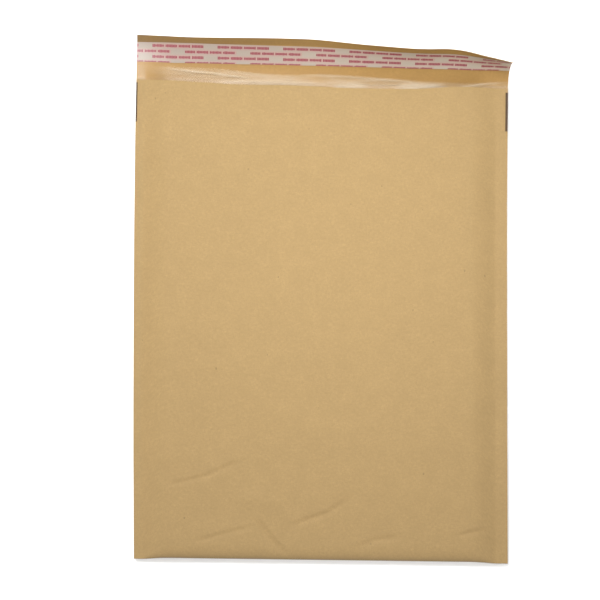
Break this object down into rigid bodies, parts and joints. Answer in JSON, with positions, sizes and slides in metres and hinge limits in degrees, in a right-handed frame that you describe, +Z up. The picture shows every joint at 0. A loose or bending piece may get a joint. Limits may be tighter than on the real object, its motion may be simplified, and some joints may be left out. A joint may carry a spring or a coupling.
{
  "type": "padded envelope",
  "caption": "Kraft mailing envelope with a bubble-film lining, open flap, self-seal strip and peel-off liner.",
  "frame": {"origin": "on the resting surface, under the middle of the outside box of the open envelope", "axes": "+X across the envelope to the right, +Y from the bottom fold to the flap, +Z up from the back panel to the front panel"},
  "size_m": [0.29, 0.4096, 0.0337],
  "materials": {
    "kraft_paper": "matt unbleached kraft, film-laminated inside",
    "bubble_film": "clear glossy polyethylene",
    "adhesive": "tacky clear hot-melt",
    "liner_paper": "smooth siliconised paper with crimson marks"
  },
  "bodies": {
    "root": {"kraft_envelope": "kraft_paper", "bubble_lining": "bubble_film", "adhesive_strip": "adhesive", "release_liner": "liner_paper"}
  },
  "joints": []
}
